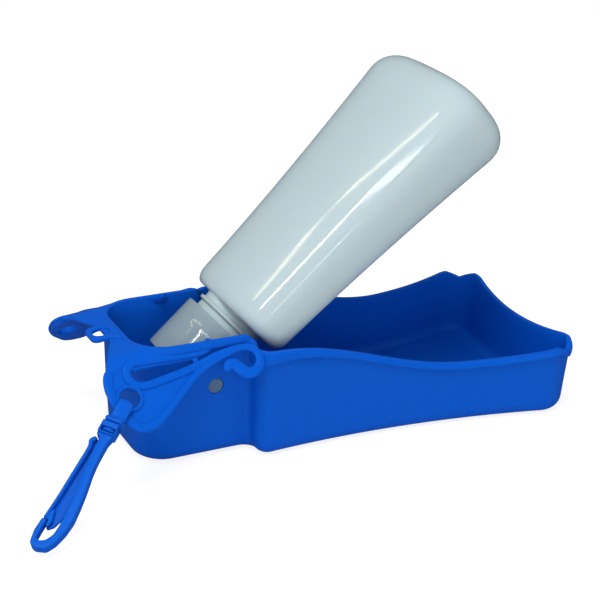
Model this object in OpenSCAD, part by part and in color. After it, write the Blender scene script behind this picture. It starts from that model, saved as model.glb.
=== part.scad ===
// Travel water bottle for a dog: a squeeze bottle that folds into its own drinking tray.
// The frame: X runs along the tray, from the narrow head (-X) to the wide bowl end (+X).
// Z is up and the tray stands on Z = 0. The plane Y = 0 halves the tray, and the near side is -Y.
// The origin is on the underside of the tray, at the waist end of its head.

/* [Bowl] */
// Half width of the bowl at its waist, outside, at the base
bowl_waist_half = 40.2; // [38.5:0.1:43]
// Place of the waist along the tray
bowl_waist_x = 25; // [18:1:34]
// Radius of the long inward curve of each bowl side
bowl_side_r = 490; // [460:5:560]
// Place of the outside of the bowl's end wall, at its middle
bowl_end_x = 153.9; // [153.5:0.1:158]
// Radius of the inward curve of the end wall
bowl_end_r = 230; // [190:5:300]
// Radius of the two bowl corners, in plan
bowl_corner_r = 13; // [11:0.5:16]
// Height of the rim at the lowest place of each side
rim_side_z = 34.1; // [32.5:0.1:36]
// Height of the rim at the middle of the end wall
rim_end_z = 33.2; // [32:0.1:35]
// Height of the rim where it leaves the head
rim_neck_z = 56; // [54:0.2:58]
// Depth of the small dip in the rim at each bowl corner
corner_dip = 4.2; // [2:0.2:5]

/* [Head] */
// Half width of the narrow head, outside, at the base
head_half = 29; // [28.4:0.1:30.2]
// Place of the outside of the head's end wall
head_end_x = -67.7; // [-70:0.1:-66.9]
// Radius of the two head corners, in plan
head_corner_r = 16.5; // [12:0.5:20]
// Place of the step where the head widens into the bowl
shoulder_x = -12.8; // [-13.6:0.1:-12]
// Height of the head's rim
head_rim_z = 61.4; // [60.5:0.1:63]

/* [Tray wall] */
// Thickness of the tray's walls
wall = 2.2; // [1.8:0.1:2.6]
// Thickness of the tray's floor
floor_t = 2.2; // [1.8:0.1:3]
// Outward slope of the walls, sideways for each unit of height
draft = 0.026; // [0.015:0.001:0.03]
// Outward slope of the bowl's end wall
end_draft = 0.09; // [0.08:0.005:0.11]
// Outward slope of the head's end wall
head_draft = 0.06; // [0.05:0.002:0.066]
// Radius of the outer edge round the underside
base_edge_r = 6.5; // [4:0.1:7]
// Radius of the inner edge round the floor
floor_edge_r = 4.6; // [3:0.1:5]
// Height of the lip along the rim
lip_h = 3.4; // [2.6:0.1:4.4]
// How far the lip stands out of the wall
lip_out = 1.1; // [0.6:0.1:1.4]

/* [Wings and eyelet] */
// Slope of each side wing below level, in degrees
wing_slope = 44; // [40:1:50]
// Thickness of the wing plate
wing_t = 2.4; // [2:0.1:3]
// How far the beads stand proud of the wing plate
bead_h = 0.9; // [0.5:0.1:1.2]
// Width of the beads
bead_w = 2.6; // [2:0.1:3.2]
// Radius of the hole in each wing
wing_hole_r = 4.8; // [4.6:0.1:5.2]
// Radius of the lanyard eyelet's hole
eyelet_r = 4.1; // [3.4:0.1:4.6]
// Place of the eyelet's centre along the tray
eyelet_x = -77; // [-78:0.5:-76.5]
// Downward slope of the eyelet tab, in degrees
eyelet_slope = 8; // [4:1:12]
// Thickness of the eyelet tab
eyelet_t = 2.4; // [2:0.1:3]
// Width of the spring arm that ends in the curl
arm_w = 5.4; // [4.4:0.1:6]
// Opening between a spring arm and the wing it grows from
arm_seam = 0.3; // [0.2:0.05:0.4]

/* [Pivot] */
// Place of the pivot pins along the tray
pivot_x = -31.2; // [-33:0.2:-30]
// Height of the pivot pins
pivot_z = 37.4; // [36:0.2:39]
// Radius of the pivot pins
pivot_r = 3.8; // [3.2:0.1:4.4]
// Radial clearance of a pin in its hole
pivot_gap = 0.05; // [0.02:0.01:0.08]
// Clearance between each pin's shoulder and the inside of the head
thrust_gap = 0.4; // [0.3:0.05:0.8]
// Angle of the bottle above level, as it is propped up
bottle_tilt = 41.9; // [38:0.1:50]

/* [Cap] */
// Thickness of the cap's skirt
cap_wall = 2.1; // [1.8:0.1:2.4]
// Clearance between the cap's skirt and the neck's screw thread
thread_gap = 0.9; // [0.5:0.1:1.4]
// How far the cap reaches past the pivot
cap_reach = 6.8; // [6.4:0.1:8]
// Length of the cap's skirt, from the pivot towards the bottle
cap_skirt = 22; // [20:0.2:23]
// Height of the cap's deck above its open end
deck_rise = 6.2; // [5.6:0.1:7]
// Thickness of the cap's deck
deck_t = 2; // [1.6:0.1:2.4]
// Radius of the outlet hole in the deck
outlet_r = 4.2; // [3.6:0.1:5]
// Radius of the shoulder round each pivot pin
boss_r = 6; // [5.4:0.1:6.4]

/* [Bottle] */
// Distance from the pivot to the bottle's shoulder
shoulder_t = 30.8; // [29.5:0.2:33]
// Distance from the pivot to the bottle's base
base_t = 183.6; // [180:0.2:184]
// Half width of the bottle at its shoulder
bottle_half_top = 35.4; // [33:0.2:36]
// Half width of the bottle at its base
bottle_half_base = 46; // [43:0.2:49]
// Half thickness of the bottle at its shoulder
bottle_deep_top = 19.6; // [19:0.1:21.4]
// Half thickness of the bottle at its base
bottle_deep_base = 27.2; // [24:0.1:28]
// Thickness of the bottle's wall
bottle_wall = 1.1; // [0.9:0.1:1.6]
// Rounding of the bottle's shoulder edge
shoulder_r = 7; // [5:0.2:9]
// Rounding of the bottle's base edge
bottle_base_r = 16; // [12:0.2:18]
// Outer radius of the bottle's neck
neck_r = 17; // [16:0.1:17.6]
// Height of the screw thread over the neck
thread_h = 1.5; // [1:0.1:1.8]
// Rise of the screw thread in one turn
thread_pitch = 4; // [3.4:0.1:5]
// Thickness of the sealing washer
washer_t = 1.6; // [1.2:0.1:2]

/* [Snap hook] */
// Heading of the hook in the wing's plane, from the tray's length, in degrees
hook_heading = 133; // [131:0.2:136]
// How far the hook hangs out from the wing's plane, in degrees
hook_lift = 0.4; // [0:0.1:3]
// Roll of the hook about its own length, in degrees
hook_roll = 22; // [10:1:40]
// Distance from the bar the hook hangs on to the hook's far end
hook_len = 74.6; // [71:0.2:76]
// Depth of the hook's section
hook_deep = 5; // [4:0.1:6]
// Thickness of the eye's strap
strap_t = 1.8; // [1.5:0.1:2.1]
// Width of the eye's strap
strap_w = 4.2; // [3.6:0.1:4.4]
// Radius of the swivel pin
swivel_r = 2.2; // [1.8:0.1:2.6]
// Radial clearance of the swivel pin in its collar
swivel_gap = 0.05; // [0.02:0.01:0.08]
// Thickness of the sprung gate
gate_t = 2.2; // [1.8:0.1:2.6]

/* [Hidden] */
tray_blue = [0.08, 0.36, 0.80];
cap_grey = [0.66, 0.74, 0.74];
milk = [0.80, 0.87, 0.88];
silicone = [0.86, 0.88, 0.86];
tiny = 0.01;

// Points along an arc, each as [x, y, outward x, outward y]; turn is -1 where the wall is outside the arc
function arc(c, r, a0, a1, n, turn = 1) = [for (i = [0:n])
    let (a = a0 + (a1 - a0) * i / n) [c.x + r * cos(a), c.y + r * sin(a), turn * cos(a), turn * sin(a)]];
function wave(a, b, u) = a + (b - a) * (1 - cos(180 * min(1, max(0, u)))) / 2;

// The tray's plan, one half of it, from the head's corner to the middle of the bowl's end
side_c = [bowl_waist_x, bowl_waist_half + bowl_side_r];
end_c = [bowl_end_x + bowl_end_r, 0];
function side_y(x) = side_c.y - sqrt(bowl_side_r * bowl_side_r - (x - side_c.x) * (x - side_c.x));
step_w = side_y(shoulder_x + 8) - head_half;
inner_r = min(4.2, 0.35 * step_w);
outer_r = min(7.6, 0.62 * step_w);
meet_x = (shoulder_x + outer_r + outer_r * side_c.x / bowl_side_r) / (1 + outer_r / bowl_side_r);
meet_lean = asin((side_c.x - meet_x) / bowl_side_r);
shoulder_c = [shoulder_x + outer_r, side_y(meet_x) - outer_r * cos(meet_lean)];
// The bowl's corner circle touches the side curve and the end curve
reach_a = bowl_side_r + bowl_corner_r;
reach_b = bowl_end_r + bowl_corner_r;
gap_v = end_c - side_c;
gap_d = norm(gap_v);
along = (reach_a * reach_a - reach_b * reach_b + gap_d * gap_d) / (2 * gap_d);
across = sqrt(reach_a * reach_a - along * along);
gap_u = gap_v / gap_d;
corner_c = side_c + gap_u * along + [gap_u.y, -gap_u.x] * across;
to_side = (side_c - corner_c) / reach_a;
to_end = (end_c - corner_c) / reach_b;
side_turn = atan2(to_side.y, to_side.x);
end_turn = atan2(to_end.y, to_end.x);
side_last = corner_c + to_side * bowl_corner_r;
end_first = corner_c + to_end * bowl_corner_r;
function side_point(x) = [x, side_y(x), (side_c.x - x) / bowl_side_r, (side_c.y - side_y(x)) / bowl_side_r];
function end_point(y) = let (x = end_c.x - sqrt(bowl_end_r * bowl_end_r - y * y))
    [x, y, (end_c.x - x) / bowl_end_r, (end_c.y - y) / bowl_end_r];

rim_low_x = 100;
rim_rise_x = -8;
plateau_x = shoulder_x - inner_r;
// Rim height on the bowl's sides: a long wave down from the head, then a slow rise to the corner
function side_rim(x) = x < rim_low_x + 6
    ? wave(rim_neck_z, rim_side_z, (x - rim_rise_x) / (rim_low_x - rim_rise_x))
    : rim_side_z + 0.00165 * (x - rim_low_x - 6) * (x - rim_low_x - 6);
function end_rim(y) = rim_end_z + 0.0024 * y * y;
function head_rim(x) = wave(head_rim_z, rim_neck_z - 0.8, (x - plateau_x) / 9);
function corner_rim(u) = side_rim(side_last.x) * (1 - u) + end_rim(end_first.y) * u + 1.2 * sin(180 * u)
    - corner_dip * max(0, 1 - abs(u - 0.5) / 0.3);
function with_rim(points, kind) = [for (i = [0:len(points) - 1]) let (p = points[i])
    [p.x, p.y, p[2], p[3], kind == 0 ? head_rim(p.x) : kind == 1 ? side_rim(p.x)
        : kind == 2 ? corner_rim(i / (len(points) - 1)) : end_rim(p.y)]];
function drop_first(v) = [for (i = [1:len(v) - 1]) v[i]];
plan_half = concat(
    with_rim(arc([head_end_x + head_corner_r, head_half - head_corner_r], head_corner_r, 180, 90, 6), 0),
    with_rim(arc([plateau_x, head_half + inner_r], inner_r, 270, 360, 4, -1), 0),
    with_rim(arc(shoulder_c, outer_r, 180, 90 - meet_lean, 6), 1),
    drop_first(with_rim([for (i = [0:15]) side_point(meet_x + (side_last.x - meet_x) * i / 15)], 1)),
    drop_first(with_rim(arc(corner_c, bowl_corner_r, side_turn, end_turn, 10), 2)),
    drop_first(with_rim([for (i = [0:4]) end_point(end_first.y * (1 - i / 4))], 3)));
half_n = len(plan_half);
// The near half is the far half turned over, so the loop runs once round the tray
plan = concat([for (p = plan_half) [p.x, -p.y, p[2], -p[3], p[4]]], [for (i = [half_n - 2:-1:0]) plan_half[i]]);
plan_n = len(plan);
// The end walls lean out more than the sides
function lean_of(x, n) = draft + (x > 100 ? (end_draft - draft) * max(0, n) * max(0, n)
    : x < -50 ? (head_draft - draft) * max(0, -n) * max(0, -n) : 0);
function lean(p) = lean_of(p.x, p[2]);
function at(p, out, z) = [p.x + p[2] * out, p.y + p[3] * out, z];
// The lip is taller just behind the shoulder, where it runs into the head
function lip_at(p) = lip_h + (p.x > shoulder_x - 1 ? 4 * exp(-(p.x - shoulder_x) / 14) : 0);
edge_steps = [30, 60, 90];
tray_rows = concat(
    [[for (p = plan) at(p, -base_edge_r, 0)]],
    [for (a = edge_steps) [for (p = plan) let (z = base_edge_r * (1 - cos(a)))
        at(p, lean(p) * z - base_edge_r * (1 - sin(a)), z)]],
    [[for (p = plan) let (z = p[4] - lip_at(p) - lip_out) at(p, lean(p) * z, z)]],
    [[for (p = plan) let (z = p[4] - lip_at(p)) at(p, lean(p) * z + lip_out, z)]],
    [[for (p = plan) at(p, lean(p) * p[4] + lip_out, p[4] - 0.7)]],
    [[for (p = plan) at(p, lean(p) * p[4] + lip_out - 0.7, p[4])]],
    [[for (p = plan) at(p, lean(p) * p[4] - wall + 0.3, p[4])]],
    [[for (p = plan) at(p, lean(p) * p[4] - wall, p[4] - 0.5)]],
    [for (a = [90, 60, 30, 0]) [for (p = plan) let (z = floor_t + floor_edge_r * (1 - cos(a)))
        at(p, lean(p) * z - wall - floor_edge_r * (1 - sin(a)), z)]]);

// A closed skin over rings of points, each ring with the same number of points
module skin(rows) {
    n = len(rows[0]);
    m = len(rows);
    points = [for (row = rows) each row];
    sides = [for (r = [0:m - 2]) for (i = [0:n - 1]) let (j = (i + 1) % n, a = r * n, b = (r + 1) * n)
        each [[a + i, b + i, b + j], [a + i, b + j, a + j]]];
    polyhedron(points, concat(sides, [[for (i = [0:n - 1]) i]], [[for (i = [n - 1:-1:0]) (m - 1) * n + i]]),
        convexity = 12);
}

// Points of a polygon whose corners are rounded; each corner is [x, y, radius]
function rounded(v, n = 5) = [for (i = [0:len(v) - 1])
    let (k = len(v), p = [v[(i + k - 1) % k].x, v[(i + k - 1) % k].y], c = [v[i].x, v[i].y],
        q = [v[(i + 1) % k].x, v[(i + 1) % k].y], a = (p - c) / norm(p - c), b = (q - c) / norm(q - c),
        half = acos(max(-1, min(1, a * b))) / 2, r = v[i][2], back = r / tan(half))
    each (r <= 0 || half > 89 ? [c] : [for (j = [0:n])
        let (s = c + a * back, e = c + b * back, m = c + (a + b) / norm(a + b) * (r / sin(half)),
            a0 = atan2(s.y - m.y, s.x - m.x), raw = atan2(e.y - m.y, e.x - m.x) - a0,
            sweep = raw > 180 ? raw - 360 : raw < -180 ? raw + 360 : raw)
        m + r * [cos(a0 + sweep * j / n), sin(a0 + sweep * j / n)]])];

// Wing coordinates: the first runs along the tray, the second down the wing's slope, the third out of it
wing_y = head_half + 0.6;
wing_z = head_rim_z - 2.9;
hole_at = [-79.3, 18.2];
arm_root_x = -42;
module on_wing() {
    translate([0, -wing_y, wing_z]) rotate([wing_slope, 0, 0]) mirror([0, 1, 0]) translate([0, 0, -wing_t]) children();
}
wing_outline = [[-33, -5, 0], [-76, -5, 0], [-83.5, -1, 6], [-89.8, 10, 11], [-86.5, 24, 9], [-77, 36, 7.5],
    [-68, 34.4, 8], [-46, 14.2, 14], [arm_root_x, 12.4, 0], [arm_root_x, 3.4, 0], [-37, 2, 3]];
slot_outline = [[-75.8, 3.9, 3], [-44.6, 4.2, 0.4], [-44.6, 7, 0.4], [-69, 11.5, 6], [-75, 10.6, 3]];
function shrunk(v, d) = let (c = [-70, 14]) [for (p = v) let (q = [p.x, p.y] - c) [p.x - d * q.x / norm(q),
    p.y - d * q.y / norm(q), max(0, p[2] - d)]];

module wing() {
    color(tray_blue) on_wing() difference() {
        union() {
            linear_extrude(wing_t) difference() {
                polygon(rounded(wing_outline));
                polygon(rounded(slot_outline));
            }
            linear_extrude(wing_t + bead_h) difference() {
                polygon(rounded(wing_outline));
                polygon(rounded(shrunk(wing_outline, bead_w)));
                translate([-120, -20]) square([120, 21]);
                translate([arm_root_x - 2, -20]) square([40, 60]);
            }
            linear_extrude(wing_t + bead_h) difference() {
                polygon(rounded([[-79.6, 1, 4], [arm_root_x, 1, 0], [arm_root_x, 10.2, 0], [-68, 15, 6],
                    [-78.6, 13.8, 4.5]]));
                polygon(rounded(slot_outline));
            }
            translate([hole_at.x, hole_at.y, 0]) cylinder(h = wing_t + bead_h, r = wing_hole_r + 1.6, $fn = 48);
        }
        translate([hole_at.x, hole_at.y, -5]) cylinder(h = 12, r = wing_hole_r, $fn = 64);
    }
}
// The wing's root stops inside the head's wall
module rooted_wing() {
    difference() {
        wing();
        translate([-120, -head_half - 0.4, 0]) cube([120, 60, 100]);
    }
}

// The web fills the corner between the head, the wing and the eyelet tab, and falls gently to the wing
web_slope = 6.5;
head_top_x = head_end_x - head_draft * head_rim_z + 1.6;
function web_r(a) = head_corner_r + lean_of(-60, cos(a)) * head_rim_z - wall / 2;
module web() {
    translate([0, 0, head_rim_z + 0.4 - wing_t]) rotate([web_slope, 0, 0]) linear_extrude(wing_t)
        polygon(concat(rounded([[head_top_x - 2, -8, 0], [eyelet_x + 1, -11.2, 3], [eyelet_x - 4.6, -21, 12],
            [eyelet_x - 7.8, -wing_y - 1.2, 0], [head_top_x + 8, -wing_y - 1.2, 0]]),
            [for (a = [270:-15:180]) [head_end_x + head_corner_r + web_r(a) * cos(a),
                head_corner_r - head_half + web_r(a) * sin(a)]]));
}

// The spring arm ends in a curl round a small eye, turned back towards the arm
curl_at = [-17.8, 10.2];
// The arm leans out of the wing's plane, so the curl stands clear of the tray's shoulder
arm_lean = 10;
arm_root = arm_root_x + arm_seam;
function leaned(v) = [for (p = v) [arm_root + (p.x - arm_root) * 0.92, p.y + (p.x - arm_root) * 0.06, p[2]]];
module clip_arm() {
    low = 3 + arm_w;
    color(tray_blue) on_wing() translate([arm_root, 0, bead_h + wing_t]) rotate([0, -arm_lean, 0])
        translate([-arm_root, 0, -wing_t]) linear_extrude(wing_t) difference() {
            polygon(rounded(leaned([[arm_root, 4.4, 0], [-36, 3.6, 6], [-27, 3.7, 20], [-19, 2.9, 6], [-13.6, 4.4, 4],
                [-12, 10, 5], [-12.8, 16.4, 4.5], [-17.5, 20, 4.8], [-24.6, 17.2, 0], [-30.4, 15.4, 2],
                [-32.2, low + 2.1, 1.4], [-29.6, low + 1.3, 0.8], [-24, low - 0.5, 0], [-23.8, low - 1.3, 0],
                [-26, low - 1, 0], [-33, low + 0.8, 0], [arm_root, 12.2, 0]])));
            translate([arm_root + (curl_at.x - arm_root) * 0.92, curl_at.y + (curl_at.x - arm_root) * 0.06])
                polygon([for (i = [0:27]) [3.8 * cos(i * 360 / 28), 2.6 * sin(i * 360 / 28)]]);
        }
}

// Half thickness of the head's wall span at the pivot, outside and inside
pivot_out = head_half + draft * pivot_z;
pivot_in = pivot_out - wall;
eyelet_drop = (head_top_x - eyelet_x) * sin(eyelet_slope);
module tray() {
    color(tray_blue) difference() {
        union() {
            skin(tray_rows);
            for (s = [0, 1]) mirror([0, s, 0]) {
                rooted_wing();
                web();
            }
            eyelet_tab();
        }
        translate([pivot_x, 0, pivot_z]) rotate([90, 0, 0])
            cylinder(h = 2 * head_half + 20, r = pivot_r + pivot_gap, center = true, $fn = 64);
        on_eyelet() translate([0, 0, -4]) cylinder(h = 10, r = eyelet_r, $fn = 64);
    }
}
module on_eyelet() {
    translate([eyelet_x, 0, head_rim_z - eyelet_drop - eyelet_t]) rotate([0, -eyelet_slope, 0]) children();
}
module eyelet_tab() {
    root = head_top_x - eyelet_x - 0.6;
    on_eyelet() linear_extrude(eyelet_t)
        polygon(rounded([[root, 18, 0], [root - 2.6, 15, 4], [-2, 8.2, 7], [-8, 7.6, 6.6], [-8, -7.6, 6.6],
            [-2, -8.2, 7], [root - 2.6, -15, 4], [root, -18, 0]]));
}

// Bottle coordinates: the third runs along the bottle from the pivot, the second across it, the first is its back
module on_bottle() {
    translate([pivot_x, 0, pivot_z]) rotate([0, 90 - bottle_tilt, 0]) children();
}
cap_low = -cap_reach;
deck_low = cap_low + deck_rise;
deck_high = deck_low + deck_t;
washer_high = deck_high + washer_t;
// The cap's skirt is sized over the neck and its thread
cap_in_r = neck_r + thread_h + thread_gap;
cap_r = cap_in_r + cap_wall;
pin_end = pivot_out - 0.1;
module screw_cap() {
    color(cap_grey) on_bottle() difference() {
        union() {
            rotate_extrude($fn = 96) polygon([[cap_in_r, cap_low], [cap_r - 0.6, cap_low], [cap_r, cap_low + 0.6],
                [cap_r, cap_skirt - 0.6], [cap_r - 0.6, cap_skirt], [cap_in_r, cap_skirt], [cap_in_r, deck_high],
                [outlet_r, deck_high], [outlet_r, deck_low], [cap_in_r, deck_low]]);
            for (s = [-1, 1]) rotate([s * 90, 0, 0]) {
                translate([0, 0, cap_r - 1]) cylinder(h = pivot_in - thrust_gap - cap_r + 1, r = boss_r, $fn = 64);
                cylinder(h = pin_end, r = pivot_r, $fn = 64);
            }
        }
        translate([0, 0, cap_low - 1]) cylinder(h = deck_rise + 1, r = cap_in_r, $fn = 96);
        translate([0, 0, deck_low - tiny]) cylinder(h = deck_t + 2 * tiny, r = outlet_r, $fn = 64);
        translate([0, 0, deck_high]) cylinder(h = cap_skirt - deck_high + 1, r = cap_in_r, $fn = 96);
    }
}
// A slit silicone button that stays shut until the bottle is squeezed
module outlet_valve() {
    slit = 0.4;
    color(silicone) on_bottle() difference() {
        rotate_extrude($fn = 64) polygon([[0, deck_low - 1.2], [outlet_r + 1.6, deck_low - 1.2],
            [outlet_r + 1.6, deck_low], [outlet_r - 0.05, deck_low], [outlet_r - 0.05, deck_high - 0.2],
            [outlet_r - 1.2, deck_high - 0.2], [outlet_r - 1.2, deck_low - 0.2], [0, deck_low - 0.2]]);
        translate([-slit / 2, -2, deck_low - 2]) cube([slit, 4, 4]);
        translate([-2, -slit / 2, deck_low - 2]) cube([4, slit, 4]);
    }
}
module sealing_washer() {
    color(silicone) on_bottle() rotate_extrude($fn = 96) polygon([[neck_r - 3.4, deck_high],
        [cap_in_r - 0.3, deck_high], [cap_in_r - 0.3, washer_high], [neck_r - 3.4, washer_high]]);
}

// Rings of the bottle: [distance from the pivot, half thickness, half width, squareness]
ring_n = 48;
body_len = base_t - shoulder_t;
function half_w(t) = bottle_half_top + (bottle_half_base - bottle_half_top) * pow((t - shoulder_t) / body_len, 1.45);
function half_d(t) = bottle_deep_top + (bottle_deep_base - bottle_deep_top) * pow((t - shoulder_t) / body_len, 1.6);
function square(t) = 2.45 + 0.65 * (t - shoulder_t) / body_len;
function oval(t, a, b, p) = [for (i = [0:ring_n - 1]) let (u = 360 * i / ring_n, c = cos(u), s = sin(u))
    [a * sign(c) * pow(abs(c), 2 / p), b * sign(s) * pow(abs(s), 2 / p), t]];
neck_low = washer_high;
function body_rings(inset) = concat(
    [for (a = [20, 45, 70, 90]) let (r = shoulder_r - inset, t = shoulder_t + inset + r * (1 - cos(a)),
        g = r * (1 - sin(a))) oval(t, half_d(t) - 0.5 * g - inset, half_w(t) - g - inset, square(t))],
    [for (i = [1:9]) let (t = shoulder_t + shoulder_r + (body_len - shoulder_r - bottle_base_r) * i / 9)
        oval(t, half_d(t) - inset, half_w(t) - inset, square(t))],
    [for (a = [22, 45, 68, 90]) let (r = bottle_base_r - inset, t = base_t - inset - r * (1 - sin(a)),
        g = r * (1 - cos(a))) oval(t, half_d(t) - 0.7 * g - inset, half_w(t) - g - inset, square(t))]);
bottle_rows = concat(
    [oval(neck_low, neck_r, neck_r, 2), oval(shoulder_t - 1.2, neck_r, neck_r, 2),
        oval(shoulder_t, neck_r + 0.6, neck_r + 1.6, 2)],
    body_rings(0),
    [for (i = [len(body_rings(0)) - 1:-1:0]) body_rings(bottle_wall)[i]],
    [oval(shoulder_t + bottle_wall, neck_r - 1.4, neck_r - 1, 2), oval(shoulder_t - 1, neck_r - 2, neck_r - 2, 2),
        oval(neck_low, neck_r - 2, neck_r - 2, 2)]);
// The bottle's skin turns in at the base and comes back up inside, so its last ring closes on its first
module bottle_shell() {
    n = ring_n;
    m = len(bottle_rows);
    points = [for (row = bottle_rows) each row];
    outer_m = 3 + len(body_rings(0));
    sides = [for (r = [0:m - 1]) if (r != outer_m - 1) for (i = [0:n - 1])
        let (j = (i + 1) % n, a = r * n, b = ((r + 1) % m) * n) each [[a + i, b + j, a + j], [a + i, b + i, b + j]]];
    polyhedron(points, concat(sides, [[for (i = [n - 1:-1:0]) (outer_m - 1) * n + i]],
        [[for (i = [0:n - 1]) outer_m * n + i]]), convexity = 8);
}
// One ridge of the screw thread, climbing the neck
thread_low = neck_low + 2.4;
thread_turns = 2.5;
module thread() {
    n = 24 * thread_turns;
    rings = [for (i = [0:n]) let (u = 360 * i / 24, fade = min(1, i / 4, (n - i) / 4), h = max(0.1, thread_h * fade),
        z = thread_low + thread_pitch * i / 24, r = neck_r - 0.4)
        [for (q = [[0, 1.1], [h + 0.4, 0.4], [h + 0.4, -0.4], [0, -1.1]])
            [(r + q.x) * cos(u), (r + q.x) * sin(u), z + q.y]]];
    skin(rings);
}
bead_t = shoulder_t - 4.4;
module bottle() {
    color(milk) on_bottle() {
        union() {
            bottle_shell();
            thread();
            rotate_extrude($fn = ring_n) polygon([[neck_r - 1, bead_t - 1.4], [neck_r + 1.3, bead_t - 0.8],
                [neck_r + 1.6, bead_t], [neck_r + 1.3, bead_t + 0.8], [neck_r - 1, bead_t + 1.4]]);
        }
    }
}

// Hook coordinates: the first runs along the hook from the bar it hangs on, the second across, the third out
bar_turn = 138;
bar_r = 7.4;
module on_bar() {
    on_wing() translate([hole_at.x + bar_r * cos(bar_turn), hole_at.y + bar_r * sin(bar_turn), wing_t / 2])
        rotate([0, 0, hook_heading]) rotate([0, -hook_lift, 0]) mirror([0, 1, 0]) children();
}
module on_hook() {
    on_bar() rotate([hook_roll, 0, 0]) children();
}
strap_in = -3.9;
strap_out = 3.6;
bar_half = wing_t / 2 + bead_h + 1.4;
block_end = strap_out + 3.4;
collar_gap = 0.3;
collar_low = block_end + collar_gap;
collar_high = collar_low + 3;
window_high = collar_high + 3.2;
module swivel_eye() {
    color(tray_blue) on_bar() {
        rotate([90, 0, 0]) linear_extrude(strap_w, center = true) difference() {
            polygon(rounded([[strap_in - strap_t, -bar_half - strap_t, 3], [block_end, -bar_half - strap_t, 2],
                [block_end, bar_half + strap_t, 2], [strap_in - strap_t, bar_half + strap_t, 3]]));
            polygon(rounded([[strap_in, -bar_half, 1.2], [strap_out, -bar_half, 1.6],
                [strap_out, bar_half, 1.6], [strap_in, bar_half, 1.2]]));
        }
        rotate([0, 90, 0]) translate([0, 0, block_end - 1])
            cylinder(h = collar_high + 0.3 - block_end + 1, r = swivel_r, $fn = 48);
        rotate([0, 90, 0]) translate([0, 0, collar_high + 0.3]) cylinder(h = 1.6, r = swivel_r + 1.1, $fn = 48);
    }
}
// Outline of the hook's loop: its short leg ends at a lip, and the gate closes the rest
gate_s = window_high + 2.6;
tip_s = hook_len - 14;
module snap_hook() {
    end = hook_len;
    outer = [[window_high - 0.4, -4, 0], [gate_s - 1.4, -4.2, 1], [gate_s - 0.4, -1.9, 0.5], [gate_s + 3, -1.5, 1],
        [gate_s + 6, -0.8, 3], [end - 38, -0.4, 30], [end - 22, 2.8, 16], [end - 11, 2.2, 6], [end - 4.2, -0.8, 2.2],
        [end - 4.2, -4, 1.4], [end - 9, -4.6, 4], [tip_s, -4.2, 0.6], [tip_s, -7, 0.8], [end - 6, -7, 5],
        [end, -4.8, 2.6], [end, 0, 4.4], [end - 8, 5, 10], [end - 22, 6.6, 16], [end - 42, 2.8, 30],
        [window_high + 4, 2.4, 8], [window_high - 0.4, 3.6, 0]];
    color(tray_blue) on_hook() difference() {
        union() {
            linear_extrude(hook_deep, center = true) polygon(rounded(outer));
            linear_extrude(2 * swivel_r + 3, center = true)
                polygon([[collar_low, -4.2], [window_high, -4.2], [window_high, 3.8], [collar_low, 3.8]]);
        }
        translate([collar_high, -3.4, -10]) cube([window_high - collar_high - 0.4, 6.8, 20]);
        rotate([0, 90, 0]) cylinder(h = window_high - 0.4, r = swivel_r + swivel_gap, $fn = 48);
    }
}
module hook_gate() {
    deep = hook_deep - 0.8;
    color(tray_blue) on_hook() linear_extrude(deep, center = true)
        polygon(rounded([[gate_s, -4.6, 1.1], [gate_s + 2.4, -6, 1.2], [gate_s + 5, -4.8, 3],
            [tip_s - 12, -6.4, 10], [tip_s - 0.4, -6.9, 0.4], [tip_s - 0.4, -3.8, 0.4], [tip_s + 3.6, -3.8, 0.5],
            [tip_s + 3.6, -6.9 + gate_t * 2, 0.5], [tip_s - 2, -2.2, 3], [tip_s - 9, -1, 8],
            [tip_s - 24, -2.5, 12], [gate_s, -4.4 + gate_t, 0.8]]));
}

tray();
clip_arm();  // near_clip_arm
mirror([0, 1, 0]) clip_arm();  // far_clip_arm
screw_cap();
outlet_valve();
sealing_washer();
bottle();
swivel_eye();
snap_hook();
hook_gate();
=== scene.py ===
import bpy
import bmesh
import math
from mathutils import Matrix, Vector


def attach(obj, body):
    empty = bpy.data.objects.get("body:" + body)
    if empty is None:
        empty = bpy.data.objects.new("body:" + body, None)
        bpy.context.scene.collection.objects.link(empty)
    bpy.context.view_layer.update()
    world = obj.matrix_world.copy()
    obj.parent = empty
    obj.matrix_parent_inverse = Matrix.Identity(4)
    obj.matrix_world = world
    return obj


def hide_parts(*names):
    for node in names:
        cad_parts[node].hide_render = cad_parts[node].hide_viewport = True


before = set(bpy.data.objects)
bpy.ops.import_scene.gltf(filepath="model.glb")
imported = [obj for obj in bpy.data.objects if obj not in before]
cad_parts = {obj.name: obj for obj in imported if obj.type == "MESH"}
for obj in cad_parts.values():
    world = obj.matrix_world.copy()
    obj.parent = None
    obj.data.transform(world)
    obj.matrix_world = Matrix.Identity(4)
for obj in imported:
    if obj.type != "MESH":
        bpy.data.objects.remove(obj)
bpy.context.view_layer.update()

# Lengths in this file are in millimetres until a mesh is finished
MM = 0.001

# Materials
GRAIN_DETAIL, GRAIN_ROUGHNESS = 3.0, 0.6
BROAD_SCALE, BROAD_DETAIL = 45.0, 2.0
BUMP_METRES = 0.0004
SURFACE_INPUTS = (("Grain size", 1, 400), ("Depth", 0, 0.05), ("Gloss low", 0, 0.3), ("Gloss high", 0, 0.4))


def node(tree, kind, **values):
    """A new node of a tree, with values for its sockets or, where it has no such socket, its settings."""
    made = tree.nodes.new(kind)
    for key, value in values.items():
        if key in made.inputs:
            made.inputs[key].default_value = value
        else:
            setattr(made, key, value)
    return made


def join(tree, *pairs):
    """Links pairs of sockets, each an output and an input."""
    for source, target in pairs:
        tree.links.new(source, target)


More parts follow.
